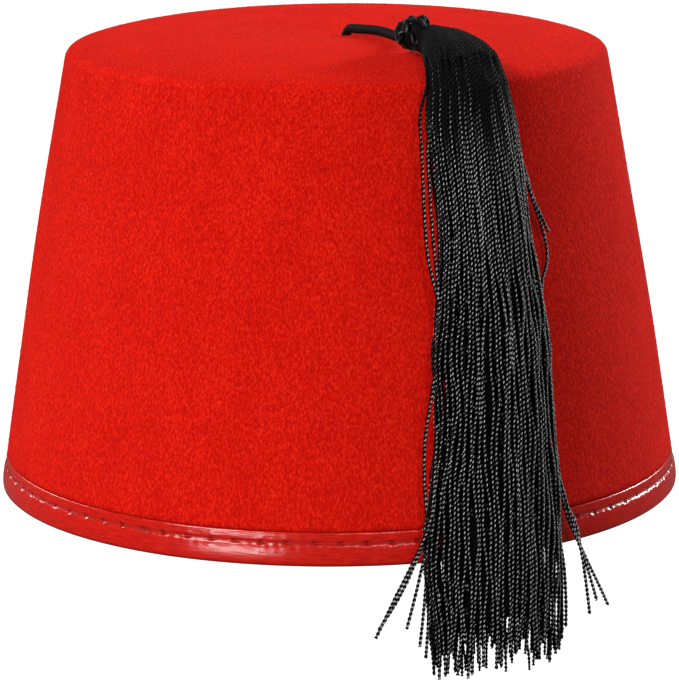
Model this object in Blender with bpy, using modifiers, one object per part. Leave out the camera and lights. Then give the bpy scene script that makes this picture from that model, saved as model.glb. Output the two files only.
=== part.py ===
"""A red felt fez with a bound rim and a black tassel on a short cord.

Metres, +Z up. The wearer faces along -Y. The origin is the middle of the head
opening, level with the lowest edge of the rim, so the tassel's tips hang below it.
"""
import math
from functools import lru_cache

import bmesh
import bpy
from mathutils import Vector

# Crown: outer radii, heights and felt thickness
RIM_RADIUS = 0.0940
SHOULDER_RADIUS = 0.0741
SIDE_HEIGHT = 0.1188
SIDE_BULGE = 0.0006
SHOULDER_ROUND = 0.0036
TOP_DOME = 0.0022
TOP_EDGE_FALL = 0.0033
DIMPLE_DEPTH = 0.0030
DIMPLE_RADIUS = 0.0200
FELT = 0.0024

# Tape folded round the rim
BINDING_HEIGHT = 0.0088
BINDING_INNER_HEIGHT = 0.0082
BINDING_THICKNESS = 0.0008

# Space kept between pieces that touch
GAP = 0.0003

# Cord that comes up through the crown and ends in the tassel's knot
CORD_RADIUS = 0.0013
CORD_STEP = 1.2
HOLE_RADIUS = 0.0027
HOLE_PLACE = (0.0028, -0.00447)
STOPPER_RADIUS = 0.0045

# Tassel: a round knot, a gathered neck and hanging locks
KNOT_RADIUS = 0.00475
KNOT_DISTANCE = 0.0530
KNOT_TURN = 22.7
NECK_END = 0.0840
TIPS_BELOW_RIM = 0.0300
TASSEL_HALF_WIDTH = 0.0190
TASSEL_THICKNESS = 0.0100
LOCKS_IN_FRONT = 6
LOCKS_BEHIND = 5
HANG_BEND = 0.0250

# Fineness of the round pieces
TURNED_STEPS = 64
LINE_STEP = 0.0010

# The tassel from its knot to its tips. way: share of the distance from the crown's
# middle to the tips, measured along the felt. turn: degrees from the front towards
# the wearer's left. width and depth: shares of the half width and the thickness.
TASSEL_TABLE = (
    {"way": 0.250, "turn": 26.0, "width": 0.22, "depth": 0.62},
    {"way": 0.275, "turn": 28.4, "width": 0.40, "depth": 0.66},
    {"way": 0.305, "turn": 28.2, "width": 0.52, "depth": 0.70},
    {"way": 0.335, "turn": 27.0, "width": 0.60, "depth": 0.76},
    {"way": 0.370, "turn": 26.0, "width": 0.66, "depth": 0.84},
    {"way": 0.430, "turn": 25.8, "width": 0.73, "depth": 0.94},
    {"way": 0.500, "turn": 25.6, "width": 0.77, "depth": 1.00},
    {"way": 0.590, "turn": 25.9, "width": 0.80, "depth": 1.00},
    {"way": 0.680, "turn": 25.4, "width": 0.88, "depth": 1.00},
    {"way": 0.770, "turn": 24.5, "width": 0.98, "depth": 1.00},
    {"way": 0.870, "turn": 23.8, "width": 1.00, "depth": 0.96},
    {"way": 1.000, "turn": 23.5, "width": 0.97, "depth": 0.84},
)

# How far each lock hangs, as a share of the way to the tips
FRONT_LOCK_ENDS = (0.962, 0.985, 0.972, 1.000, 0.980, 0.955)
BACK_LOCK_ENDS = (0.975, 0.960, 0.990, 0.968, 0.982)

# The cord's middle line, chosen by hand: up through the hole, over and along the top
CORD_ROUTE = (
    (0.00236, -0.00334, 0.12151),
    (0.00244, -0.00357, 0.12251),
    (0.00259, -0.00395, 0.12341),
    (0.00289, -0.00471, 0.12460),
    (0.00331, -0.00572, 0.12558),
    (0.00379, -0.00687, 0.12622),
    (0.00435, -0.00811, 0.12652),
    (0.00525, -0.01000, 0.12670),
    (0.00720, -0.01460, 0.12720),
    (0.00960, -0.02000, 0.12776),
    (0.01180, -0.02470, 0.12806),
    (0.01370, -0.02940, 0.12815),
    (0.01570, -0.03460, 0.12807),
    (0.01745, -0.04030, 0.12830),
    (0.01890, -0.04475, 0.12905),
)

LEAN = math.atan2(RIM_RADIUS - SHOULDER_RADIUS, SIDE_HEIGHT)
EDGE_SLOPE = math.atan((2.0 * TOP_DOME + 6.0 * TOP_EDGE_FALL) / SHOULDER_RADIUS)
ROUND_CENTRE = (
    SHOULDER_RADIUS - SHOULDER_ROUND * math.cos(LEAN),
    SIDE_HEIGHT - SHOULDER_ROUND * math.sin(LEAN),
)
TOP_EDGE = (
    ROUND_CENTRE[0] + SHOULDER_ROUND * math.sin(EDGE_SLOPE),
    ROUND_CENTRE[1] + SHOULDER_ROUND * math.cos(EDGE_SLOPE),
)


def top_height(radius):
    """Height of the top's outer face at a distance from the middle."""
    share = radius / TOP_EDGE[0]
    dome = TOP_DOME * (1.0 - share ** 2) + TOP_EDGE_FALL * (1.0 - share ** 6)
    dimple = DIMPLE_DEPTH * math.exp(-((radius / DIMPLE_RADIUS) ** 2))
    return TOP_EDGE[1] + dome - dimple


def side_point(height):
    """Outer face of the flared side at a height above the rim."""
    share = height / SIDE_HEIGHT
    flare = RIM_RADIUS + (SHOULDER_RADIUS - RIM_RADIUS) * share
    return (flare + SIDE_BULGE * math.sin(math.pi * share), height)


def spaced(start, end, count):
    """Evenly spaced values from start to end, both ends included."""
    return [start + (end - start) * step / (count - 1) for step in range(count)]


def top_and_shoulder(top_points, round_points):
    """Outer profile from the middle of the top to the end of the shoulder."""
    profile = [(radius, top_height(radius)) for radius in spaced(0.0, TOP_EDGE[0], top_points)]
    angles = spaced(math.pi / 2.0 - EDGE_SLOPE, LEAN, round_points)
    for angle in angles[1:]:
        profile.append((
            ROUND_CENTRE[0] + SHOULDER_ROUND * math.cos(angle),
            ROUND_CENTRE[1] + SHOULDER_ROUND * math.sin(angle),
        ))
    return profile


def inset(profile, depth):
    """The profile moved inwards, square to itself, as the felt's inner face."""
    moved = []
    last = len(profile) - 1
    for index, point in enumerate(profile):
        before = profile[max(index - 1, 0)]
        after = profile[min(index + 1, last)]
        along = Vector((after[0] - before[0], after[1] - before[1])).normalized()
        moved.append((max(point[0] + along[1] * depth, 0.0), point[1] - along[0] * depth))
    moved[0] = (0.0, moved[0][1])
    return moved


def wall_point(height, depth):
    """A point of the side wall, a depth inside its outer face."""
    radius, level = side_point(height)
    return (radius - depth * math.cos(LEAN), level - depth * math.sin(LEAN))


@lru_cache(maxsize=1)
def felt_line():
    """Fine rows of way, radius, height and facing angle, from the middle to the tips."""
    outline = top_and_shoulder(61, 9)
    outline += [side_point(height) for height in spaced(SIDE_HEIGHT, 0.0, 100)[1:]]
    way = 0.0
    rows = []
    for here, after in zip(outline, outline[1:]):
        run = math.hypot(after[0] - here[0], after[1] - here[1])
        facing = math.atan2(after[0] - here[0], here[1] - after[1])
        rows.append((way, here[0], here[1], facing))
        way += run
    radius, height = outline[-1]
    rim_way = way
    facing = LEAN
    rows.append((way, radius, height, facing))
    while height > -TIPS_BELOW_RIM:
        facing = LEAN * max(0.0, 1.0 - (way - rim_way) / HANG_BEND)
        radius += LINE_STEP * math.sin(facing)
        height -= LINE_STEP * math.cos(facing)
        way += LINE_STEP
        rows.append((way, radius, height, facing))
    return rows


def over_felt(way, turn, lift):
    """World point a lift above the felt, a way out from the middle and turned round."""
    rows = felt_line()
    index = 1
    while index < len(rows) - 1 and rows[index][0] < way:
        index += 1
    low = rows[index - 1]
    high = rows[index]
    share = (way - low[0]) / (high[0] - low[0])
    radius, height, facing = (low[k] + (high[k] - low[k]) * share for k in (1, 2, 3))
    radius += lift * math.cos(facing)
    height += lift * math.sin(facing)
    return Vector((radius * math.sin(turn), -radius * math.cos(turn), height))


def tassel_row(way_share):
    """The tassel table's values at a share of the way, read between its rows."""
    rows = TASSEL_TABLE
    index = 1
    while index < len(rows) - 1 and rows[index]["way"] < way_share:
        index += 1
    low = rows[index - 1]
    high = rows[index]
    share = (way_share - low["way"]) / (high["way"] - low["way"])
    share = min(max(share, 0.0), 1.0)
    return {name: low[name] + (high[name] - low[name]) * share for name in low}


def tassel_point(way_share, across, up):
    """World point in the tassel: across from -1 to 1, up from 0 at the felt to 1."""
    row = tassel_row(way_share)
    way = way_share * felt_line()[-1][0]
    lift = GAP + up * row["depth"] * TASSEL_THICKNESS
    middle = over_felt(way, math.radians(row["turn"]), lift)
    radius = math.hypot(middle.x, middle.y)
    sideways = across * row["width"] * TASSEL_HALF_WIDTH
    return over_felt(way, math.radians(row["turn"]) + sideways / radius, lift)


def clear_scene():
    """Take away whatever the new file holds."""
    for thing in list(bpy.data.objects):
        bpy.data.objects.remove(thing, do_unlink=True)


def new_collection(name):
    """A collection linked to the scene."""
    group = bpy.data.collections.new(name)
    bpy.context.scene.collection.children.link(group)
    return group


def make_material(name, colour, roughness, sheen=0.0):
    """A plain surface with the photographed colour."""
    material = bpy.data.materials.new(name)
    material.use_nodes = True
    shader = material.node_tree.nodes["Principled BSDF"]
    shader.inputs["Base Color"].default_value = (*colour, 1.0)
    shader.inputs["Roughness"].default_value = roughness
    shader.inputs["Metallic"].default_value = 0.0
    shader.inputs["Sheen Weight"].default_value = sheen
    return material


def add_object(name, data, group, material=None):
    """An object with its data, in its collection."""
    thing = bpy.data.objects.new(name, data)
    group.objects.link(thing)
    if material is not None:
        data.materials.append(material)
    return thing


def shade(mesh):
    """Smooth faces with sharp edges left sharp."""
    mesh.shade_smooth()
    mesh.set_sharp_from_angle(angle=math.radians(40.0))


def turned(name, outline, closed, group, material):
    """An outline in the XZ plane, turned round the Z axis."""
    mesh = bpy.data.meshes.new(name)
    edges = [(index, index + 1) for index in range(len(outline) - 1)]
    if closed:
        edges.append((len(outline) - 1, 0))
    mesh.from_pydata([(radius, 0.0, height) for radius, height in outline], edges, [])
    thing = add_object(name, mesh, group, material)
    screw = thing.modifiers.new("Turn", "SCREW")
    screw.axis = "Z"
    screw.angle = math.tau
    screw.steps = TURNED_STEPS
    screw.render_steps = TURNED_STEPS
    screw.use_merge_vertices = True
    screw.merge_threshold = 0.00001
    screw.use_normal_calculate = True
    screw.use_smooth_shade = True
    return thing


def crown_outline():
    """Felt section: down the outside, thinner under the tape, and up the inside."""
    tucked = BINDING_THICKNESS + GAP
    outer = top_and_shoulder(9, 6)
    heights = spaced(SIDE_HEIGHT, BINDING_HEIGHT + GAP, 6)
    outer += [side_point(height) for height in heights[1:]]
    pressed = [wall_point(height, tucked) for height in (BINDING_HEIGHT + GAP, tucked)]
    inner_side = [wall_point(tucked + FELT * math.sin(LEAN), FELT)]
    inner_side += [wall_point(height, FELT) for height in spaced(BINDING_HEIGHT, SIDE_HEIGHT, 6)[:-1]]
    inner_top = inset(top_and_shoulder(9, 6), FELT)
    return outer + pressed + inner_side + inner_top[::-1]


def build_crown(group, cutters, material):
    """Moulded felt shell with a small hole for the cord."""
    crown = turned("crown", crown_outline(), False, group, material)
    bpy.ops.mesh.primitive_cylinder_add(vertices=16, radius=HOLE_RADIUS, depth=0.02)
    drill = bpy.context.object
    drill.name = "cord_hole_cutter"
    drill.location = (*HOLE_PLACE, TOP_EDGE[1])
    drill.hide_render = True
    drill.display_type = "WIRE"
    for holder in list(drill.users_collection):
        holder.objects.unlink(drill)
    cutters.objects.link(drill)
    cut = crown.modifiers.new("Cord hole", "BOOLEAN")
    cut.operation = "DIFFERENCE"
    cut.solver = "EXACT"
    cut.object = drill
    return crown


def binding_outline():
    """Tape section: down the outside, under the rim and up the inside."""
    inside = FELT + GAP + BINDING_THICKNESS
    corner = BINDING_THICKNESS
    outline = [wall_point(BINDING_HEIGHT, 0.0), wall_point(corner, 0.0)]
    middle = (wall_point(0.0, 0.0)[0] - corner * math.cos(LEAN), corner)
    outline.append((middle[0] + corner * math.cos(LEAN) * 0.7, corner * 0.3))
    outline.append((middle[0], 0.0))
    inner = wall_point(inside * math.sin(LEAN), inside)
    outline.append((inner[0] + corner, 0.0))
    outline.append((inner[0] + corner * 0.3, corner * 0.3))
    outline.append((inner[0] - corner * math.sin(LEAN), corner))
    outline.append(wall_point(BINDING_INNER_HEIGHT, inside))
    outline.append(wall_point(BINDING_INNER_HEIGHT, FELT + GAP))
    outline.append(wall_point(corner + (FELT + GAP) * math.sin(LEAN), FELT + GAP))
    outline.append(wall_point(corner + BINDING_THICKNESS * math.sin(LEAN), BINDING_THICKNESS))
    outline.append(wall_point(BINDING_HEIGHT, BINDING_THICKNESS))
    return outline


def smooth_points(route, spacing):
    """Evenly spaced points on a smooth curve through the route's own points."""
    fine = []
    points = [Vector(point) for point in route]
    points = [points[0] * 2 - points[1]] + points + [points[-1] * 2 - points[-2]]
    for a, b, c, d in zip(points, points[1:], points[2:], points[3:]):
        for step in range(12):
            t = step / 12.0
            bend = b * 2 + (c - a) * t + (a * 2 - b * 5 + c * 4 - d) * t * t
            fine.append((bend + (b * 3 - a - c * 3 + d) * t ** 3) * 0.5)
    fine.append(points[-2])
    total = sum((after - here).length for here, after in zip(fine, fine[1:]))
    count = max(2, round(total / spacing))
    kept = [fine[0]]
    travelled = 0.0
    for here, after in zip(fine, fine[1:]):
        travelled += (after - here).length
        if travelled >= total * len(kept) / count - 1e-9 and len(kept) < count:
            kept.append(after)
    kept.append(fine[-1])
    return kept


def tube(name, points, radii, sides_level, group, material=None):
    """A round tube along points, its radius given at each of them."""
    curve = bpy.data.curves.new(name, "CURVE")
    curve.dimensions = "3D"
    curve.bevel_depth = 1.0
    curve.bevel_resolution = sides_level
    curve.use_fill_caps = True
    curve.twist_mode = "Z_UP"
    spline = curve.splines.new("POLY")
    spline.points.add(len(points) - 1)
    for point, place, radius in zip(spline.points, points, radii):
        point.co = (*place, 1.0)
        point.radius = radius
    return add_object(name, curve, group, material)


def as_closed_mesh(thing, group):
    """The tube as a mesh with its caps joined on."""
    graph = bpy.context.evaluated_depsgraph_get()
    mesh = bpy.data.meshes.new_from_object(thing.evaluated_get(graph))
    work = bmesh.new()
    work.from_mesh(mesh)
    bmesh.ops.remove_doubles(work, verts=work.verts, dist=0.000001)
    bmesh.ops.recalc_face_normals(work, faces=work.faces)
    work.to_mesh(mesh)
    work.free()
    solid = add_object(thing.name + "_solid", mesh, group)
    solid.matrix_world = thing.matrix_world.copy()
    bpy.data.objects.remove(thing, do_unlink=True)
    return solid


def loft(name, rings, group, material=None):
    """A closed body through rings that have the same number of points."""
    work = bmesh.new()
    layers = [[work.verts.new(point) for point in ring] for ring in rings]
    sides = len(rings[0])
    for here, after in zip(layers, layers[1:]):
        for side in range(sides):
            other = (side + 1) % sides
            work.faces.new((here[side], here[other], after[other], after[side]))
    work.faces.new(layers[0][::-1])
    work.faces.new(layers[-1])
    bmesh.ops.recalc_face_normals(work, faces=work.faces)
    mesh = bpy.data.meshes.new(name)
    work.to_mesh(mesh)
    work.free()
    return add_object(name, mesh, group, material)


def bundle_ring(way_share, sides, narrow, low, high):
    """An oval section of the tassel, from low to high of its depth."""
    ring = []
    for side in range(sides):
        angle = math.tau * side / sides
        up = (low + high) / 2.0 + (high - low) / 2.0 * math.sin(angle)
        ring.append(tassel_point(way_share, narrow * math.cos(angle), up))
    return ring


def fuse(base, others):
    """Join overlapping solids into one body."""
    for other in others:
        join = base.modifiers.new("Join " + other.name, "BOOLEAN")
        join.operation = "UNION"
        join.solver = "EXACT"
        join.object = other
    graph = bpy.context.evaluated_depsgraph_get()
    mesh = bpy.data.meshes.new_from_object(base.evaluated_get(graph))
    base.modifiers.clear()
    base.data = mesh
    for other in others:
        bpy.data.objects.remove(other, do_unlink=True)
    shade(base.data)
    return base


def build_head(group, material):
    """The tassel's round knot, fused to the gathered neck."""
    whole = felt_line()[-1][0]
    start = TASSEL_TABLE[0]["way"]
    end = NECK_END / whole
    rings = [bundle_ring(share, 14, 1.0, 0.0, 1.0) for share in spaced(start, end, 9)]
    head = loft("tassel_head", rings, group, material)
    place = over_felt(KNOT_DISTANCE, math.radians(KNOT_TURN), KNOT_RADIUS + GAP)
    bpy.ops.mesh.primitive_uv_sphere_add(segments=16, ring_count=10, radius=KNOT_RADIUS)
    knot = bpy.context.object
    knot.name = "knot_ball"
    knot.location = place
    bpy.context.view_layer.update()
    return fuse(head, [knot])


def lock_tube(name, across, up, end_share, radius, group):
    """One tapering lock of strands, from the neck to its tip."""
    whole = felt_line()[-1][0]
    start = (NECK_END + GAP) / whole
    shares = spaced(start, end_share, 12)
    points = [tassel_point(share, across, up) for share in shares]
    taper = [1.0] * 10 + [0.8, 0.35]
    radii = [radius * part * tassel_row(share)["depth"] for part, share in zip(taper, shares)]
    lock = tube(name, points, radii, 2, group)
    return as_closed_mesh(lock, group)


def build_skirt(group, material):
    """Hanging locks, fused to the backing that holds them together."""
    whole = felt_line()[-1][0]
    start = (NECK_END + GAP) / whole
    backing_end = min(BACK_LOCK_ENDS) - 0.03
    rings = [bundle_ring(share, 14, 0.86, 0.10, 0.80) for share in spaced(start, backing_end, 12)]
    skirt = loft("tassel_skirt", rings, group, material)
    radius = TASSEL_THICKNESS * 0.27
    locks = []
    for number, end_share in enumerate(FRONT_LOCK_ENDS):
        across = spaced(-0.84, 0.84, LOCKS_IN_FRONT)[number]
        locks.append(lock_tube(f"front_lock_{number}", across, 0.72, end_share, radius, group))
    for number, end_share in enumerate(BACK_LOCK_ENDS):
        across = spaced(-0.72, 0.72, LOCKS_BEHIND)[number]
        locks.append(lock_tube(f"back_lock_{number}", across, 0.30, end_share, radius, group))
    return fuse(skirt, locks)


def build_cord(group, material):
    """The short cord from inside the crown to the tassel's knot."""
    points = smooth_points(CORD_ROUTE, CORD_RADIUS * CORD_STEP)
    return tube("tassel_cord", points, [CORD_RADIUS] * len(points), 2, group, material)


def build_stopper(group, material):
    """The knot under the crown that the cord can't be pulled through."""
    bpy.ops.mesh.primitive_uv_sphere_add(segments=16, ring_count=10, radius=STOPPER_RADIUS)
    stopper = bpy.context.object
    stopper.name = "cord_stopper"
    start, after = smooth_points(CORD_ROUTE, CORD_RADIUS * CORD_STEP)[:2]
    stopper.location = start - (after - start).normalized() * (STOPPER_RADIUS + GAP)
    for holder in list(stopper.users_collection):
        holder.objects.unlink(stopper)
    group.objects.link(stopper)
    stopper.data.materials.append(material)
    shade(stopper.data)
    return stopper


def main():
    """Build every piece of the fez."""
    clear_scene()
    group = new_collection("fez")
    cutters = new_collection("cutters")
    felt = make_material("red_wool_felt", (0.62, 0.012, 0.006), 0.95, 0.3)
    tape = make_material("red_satin_tape", (0.66, 0.016, 0.010), 0.32)
    rayon = make_material("black_rayon", (0.006, 0.006, 0.007), 0.45)
    build_crown(group, cutters, felt)
    turned("rim_binding", binding_outline(), True, group, tape)
    build_cord(group, rayon)
    build_stopper(group, rayon)
    build_head(group, rayon)
    build_skirt(group, rayon)


main()
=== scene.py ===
# %% [markdown]
# A fez is one piece of red wool felt, pressed over a hot block. A satin tape binds its rim,
# and a black rayon tassel hangs from a short cord that comes through the middle of the top.
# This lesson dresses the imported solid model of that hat. The model is loaded first and gives
# every size, because each piece made here has to sit where its solid sits.

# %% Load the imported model
import math
import bpy
import numpy as np
from mathutils import Matrix, Vector


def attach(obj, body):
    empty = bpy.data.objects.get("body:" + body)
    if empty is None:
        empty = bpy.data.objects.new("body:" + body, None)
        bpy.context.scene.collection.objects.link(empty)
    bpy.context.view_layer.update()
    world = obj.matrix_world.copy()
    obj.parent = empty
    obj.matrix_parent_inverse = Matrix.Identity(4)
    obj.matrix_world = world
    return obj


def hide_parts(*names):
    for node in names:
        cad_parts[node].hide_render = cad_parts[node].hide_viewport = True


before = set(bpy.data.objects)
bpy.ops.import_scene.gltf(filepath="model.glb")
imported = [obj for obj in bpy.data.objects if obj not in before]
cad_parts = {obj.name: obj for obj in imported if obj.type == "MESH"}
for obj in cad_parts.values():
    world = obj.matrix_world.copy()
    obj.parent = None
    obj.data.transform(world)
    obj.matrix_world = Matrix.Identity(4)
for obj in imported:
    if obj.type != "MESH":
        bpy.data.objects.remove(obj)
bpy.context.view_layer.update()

# %% [markdown]
# The camera comes first, because every later choice is judged through it. A long lens stands
# one metre away and looks down a little, so the top shows as a thin bright band.
# The view is built from three turns, written down in degrees: down, sideways and tilt.

# %% Camera
LOOK_HEIGHT = 0.062
CAMERA_DISTANCE = 1.0
CAMERA_ELEVATION = math.radians(11.442)
CAMERA_DOWN = math.radians(1.338)
CAMERA_ASIDE = math.radians(0.018)
CAMERA_TILT = math.radians(-0.484)
LENS = 190.9
SENSOR = 36.0

camera_place = Vector((
    0.0,
    -CAMERA_DISTANCE * math.cos(CAMERA_ELEVATION),
    LOOK_HEIGHT + CAMERA_DISTANCE * math.sin(CAMERA_ELEVATION),
))
looking = (Vector((0.0, 0.0, LOOK_HEIGHT)) - camera_place).normalized()
rightward = Vector((1.0, 0.0, 0.0))
upward = rightward.cross(looking)
lowered = math.cos(CAMERA_DOWN) * looking - math.sin(CAMERA_DOWN) * upward
raised = math.sin(CAMERA_DOWN) * looking + math.cos(CAMERA_DOWN) * upward
forward = math.cos(CAMERA_ASIDE) * lowered + math.sin(CAMERA_ASIDE) * rightward
aside = -math.sin(CAMERA_ASIDE) * lowered + math.cos(CAMERA_ASIDE) * rightward
tilted_right = math.cos(CAMERA_TILT) * aside + math.sin(CAMERA_TILT) * raised
tilted_up = -math.sin(CAMERA_TILT) * aside + math.cos(CAMERA_TILT) * raised

camera_data = bpy.data.cameras.new("photo_camera")
camera_data.lens = LENS
camera_data.sensor_width = SENSOR
camera = bpy.data.objects.new("photo_camera", camera_data)
bpy.context.collection.objects.link(camera)
axes = Matrix((tilted_right, tilted_up, -forward)).transposed()
camera.matrix_world = Matrix.Translation(camera_place) @ axes.to_4x4()
bpy.context.scene.camera = camera
print("camera at", [round(value, 3) for value in camera_place])

# %% [markdown]
# The hat's own sizes follow, in metres. They repeat the solid model's values, so that the felt,
# the tape and the tassel made here have the same shape as the solids they stand for.

# %% Sizes of the felt
RIM_RADIUS = 0.0940
SHOULDER_RADIUS = 0.0741
SIDE_HEIGHT = 0.1188
SIDE_BULGE = 0.0006
SHOULDER_ROUND = 0.0036
TOP_DOME = 0.0022
TOP_EDGE_FALL = 0.0033
DIMPLE_DEPTH = 0.0030
DIMPLE_RADIUS = 0.0200
FELT = 0.0024
TAPE_HEIGHT = 0.0088
TAPE_INNER_HEIGHT = 0.0082
TAPE_THICKNESS = 0.0008
GAP = 0.0003

LEAN = math.atan2(RIM_RADIUS - SHOULDER_RADIUS, SIDE_HEIGHT)
EDGE_SLOPE = math.atan((2.0 * TOP_DOME + 6.0 * TOP_EDGE_FALL) / SHOULDER_RADIUS)
ROUND_RADIUS = SHOULDER_RADIUS - SHOULDER_ROUND * math.cos(LEAN)
ROUND_HEIGHT = SIDE_HEIGHT - SHOULDER_ROUND * math.sin(LEAN)
EDGE_RADIUS = ROUND_RADIUS + SHOULDER_ROUND * math.sin(EDGE_SLOPE)
EDGE_HEIGHT = ROUND_HEIGHT + SHOULDER_ROUND * math.cos(EDGE_SLOPE)


def top_height(radius):
    """Height of the top's outer face at a distance from the middle."""
    share = radius / EDGE_RADIUS
    dome = TOP_DOME * (1.0 - share ** 2) + TOP_EDGE_FALL * (1.0 - share ** 6)
    return EDGE_HEIGHT + dome - DIMPLE_DEPTH * np.exp(-((radius / DIMPLE_RADIUS) ** 2))


def wall_point(height, depth):
    """Radius and height of a point in the side wall, a depth inside its outer face."""
    share = height / SIDE_HEIGHT
    radius = RIM_RADIUS + (SHOULDER_RADIUS - RIM_RADIUS) * share
    radius = radius + SIDE_BULGE * np.sin(math.pi * share)
    return (radius - depth * math.cos(LEAN), height - depth * math.sin(LEAN))


print("side leans in by", round(math.degrees(LEAN), 2), "degrees")

# %% [markdown]
# Two small helpers do the dull work. One turns a colour written as a hex code into the linear
# numbers that shaders use. The other adds a node and fills in or links its inputs.

# %% Helpers for colours and nodes
def linear(code):
    """A colour written as an sRGB hex code, as linear red, green, blue and one."""
    parts = [int(code[start:start + 2], 16) / 255.0 for start in (0, 2, 4)]
    made = [p / 12.92 if p <= 0.04045 else ((p + 0.055) / 1.055) ** 2.4 for p in parts]
    return (*made, 1.0)


def add_node(tree, kind, inputs=None, **settings):
    """Adds a node, with its inputs set to values or linked to other nodes' outputs."""
    made = tree.nodes.new(kind)
    for name, value in settings.items():
        setattr(made, name, value)
    for name, value in (inputs or {}).items():
        if isinstance(value, bpy.types.NodeSocket):
            tree.links.new(value, made.inputs[name])
        else:
            made.inputs[name].default_value = value
    return made


def new_material(name):
    """An empty node material, with its shader wired to its output."""
    material = bpy.data.materials.new(name)
    material.use_nodes = True
    tree = material.node_tree
    tree.nodes.clear()
    shader = add_node(tree, "ShaderNodeBsdfPrincipled")
    add_node(tree, "ShaderNodeOutputMaterial", {"Surface": shader.outputs[0]})
    return material, tree, shader


print("red of lit felt:", [round(part, 3) for part in linear("cd180c")])

# %% [markdown]
# Wool felt is a mat of short fibres. Brushing leaves a nap that runs down the sides, so its
# streaks are longer than wide, and on the top they lie every way. One noise pattern gives
# both: it is stretched along the hat's height only. A slower noise gives the faint clouds
# that pressing leaves, and sheen gives the soft pale edge of standing fibres.

# %% Felt material
NAP_WIDTH = 0.00042
NAP_STRETCH = 0.42
CLOUD_SIZE = 0.011
FIBRE_RELIEF = 0.00028

felt, tree, shader = new_material("red_wool_felt")
place = add_node(tree, "ShaderNodeTexCoord").outputs["Object"]
stretched = add_node(tree, "ShaderNodeMapping", {"Vector": place, "Scale": (1, 1, NAP_STRETCH)})
nap = add_node(tree, "ShaderNodeTexNoise", {
    "Vector": stretched.outputs[0],
    "Scale": 1.0 / NAP_WIDTH,
    "Detail": 3.0,
    "Roughness": 0.62,
    "Distortion": 0.6,
})
clouds = add_node(tree, "ShaderNodeTexNoise", {
    "Vector": stretched.outputs[0],
    "Scale": 1.0 / CLOUD_SIZE,
    "Detail": 4.0,
})
mixed = add_node(tree, "ShaderNodeMath", {0: nap.outputs[0], 1: 0.90}, operation="MULTIPLY")
mixed = add_node(tree, "ShaderNodeMath", {
    0: clouds.outputs[0],
    1: 0.10,
    2: mixed.outputs[0],
}, operation="MULTIPLY_ADD")
colours = add_node(tree, "ShaderNodeValToRGB", {0: mixed.outputs[0]})
colours.color_ramp.elements[0].position = 0.38
colours.color_ramp.elements[0].color = linear("bc0e06")
colours.color_ramp.elements[1].position = 0.62
colours.color_ramp.elements[1].color = linear("f42814")
middle = colours.color_ramp.elements.new(0.50)
middle.color = linear("d81208")
relief = add_node(tree, "ShaderNodeBump", {
    "Height": nap.outputs[0],
    "Strength": 0.75,
    "Distance": FIBRE_RELIEF,
})
tree.links.new(colours.outputs[0], shader.inputs["Base Color"])
tree.links.new(relief.outputs[0], shader.inputs["Normal"])
shader.inputs["Roughness"].default_value = 0.92
shader.inputs["Specular IOR Level"].default_value = 0.06
shader.inputs["Sheen Weight"].default_value = 0.07
shader.inputs["Sheen Roughness"].default_value = 0.45
shader.inputs["Sheen Tint"].default_value = linear("ff3018")

fuzz, tree, shader = new_material("red_felt_fibres")
place = add_node(tree, "ShaderNodeTexCoord").outputs["Object"]
mottle = add_node(tree, "ShaderNodeTexNoise", {"Vector": place, "Scale": 900.0})
colours = add_node(tree, "ShaderNodeValToRGB", {0: mottle.outputs[0]})
colours.color_ramp.elements[0].position = 0.35
colours.color_ramp.elements[0].color = linear("cc180e")
colours.color_ramp.elements[1].position = 0.65
colours.color_ramp.elements[1].color = linear("e62614")
tree.links.new(colours.outputs[0], shader.inputs["Base Color"])
shader.inputs["Roughness"].default_value = 0.9
shader.inputs["Specular IOR Level"].default_value = 0.08
print("felt materials made")

# %% [markdown]
# The tape is a narrow satin ribbon. Its long floating threads shine, and lie along the ribbon,
# so its finish is smoother than the felt and a little stretched. The fine ribs are laid out
# on the piece's own map, which is in millimetres along and across the tape.

# %% Tape and thread materials
THREADS_PER_MM = 4.0

satin, tree, shader = new_material("red_satin_tape")
chart = add_node(tree, "ShaderNodeUVMap", uv_map="tape_mm")
ribs = add_node(tree, "ShaderNodeTexWave", {
    "Vector": chart.outputs[0],
    "Scale": THREADS_PER_MM / 3.2,
    "Distortion": 0.7,
    "Detail": 1.0,
}, bands_direction="X")
slubs = add_node(tree, "ShaderNodeMapping", {"Vector": chart.outputs[0], "Scale": (0.25, 2.2, 1)})
slubs = add_node(tree, "ShaderNodeTexNoise", {
    "Vector": slubs.outputs[0],
    "Scale": 1.0,
    "Detail": 3.0,
})
colours = add_node(tree, "ShaderNodeValToRGB", {0: slubs.outputs[0]})
colours.color_ramp.elements[0].position = 0.3
colours.color_ramp.elements[0].color = linear("b80d06")
colours.color_ramp.elements[1].position = 0.7
colours.color_ramp.elements[1].color = linear("dc1e10")
polish = add_node(tree, "ShaderNodeMapRange", {
    "Value": slubs.outputs[0],
    "To Min": 0.14,
    "To Max": 0.23,
})
height = add_node(tree, "ShaderNodeMath", {
    0: ribs.outputs["Fac"],
    1: 0.14,
    2: slubs.outputs[0],
}, operation="MULTIPLY_ADD")
relief = add_node(tree, "ShaderNodeBump", {
    "Height": height.outputs[0],
    "Strength": 0.5,
    "Distance": 0.00009,
})
# Painted shade: the share read here mixes the satin towards a deep red in the stitch pits, the groove, the
# bottom fold and the tape's hidden faces.
painted_shade = add_node(tree, "ShaderNodeAttribute", attribute_name="painted_shade")
shaded = add_node(tree, "ShaderNodeMix", {
    "Factor": painted_shade.outputs["Fac"],
    "A": colours.outputs[0],
    "B": linear("860b05"),
}, data_type="RGBA")
tree.links.new(shaded.outputs["Result"], shader.inputs["Base Color"])
tree.links.new(polish.outputs[0], shader.inputs["Roughness"])
tree.links.new(relief.outputs[0], shader.inputs["Normal"])
shader.inputs["Specular IOR Level"].default_value = 0.45

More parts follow.
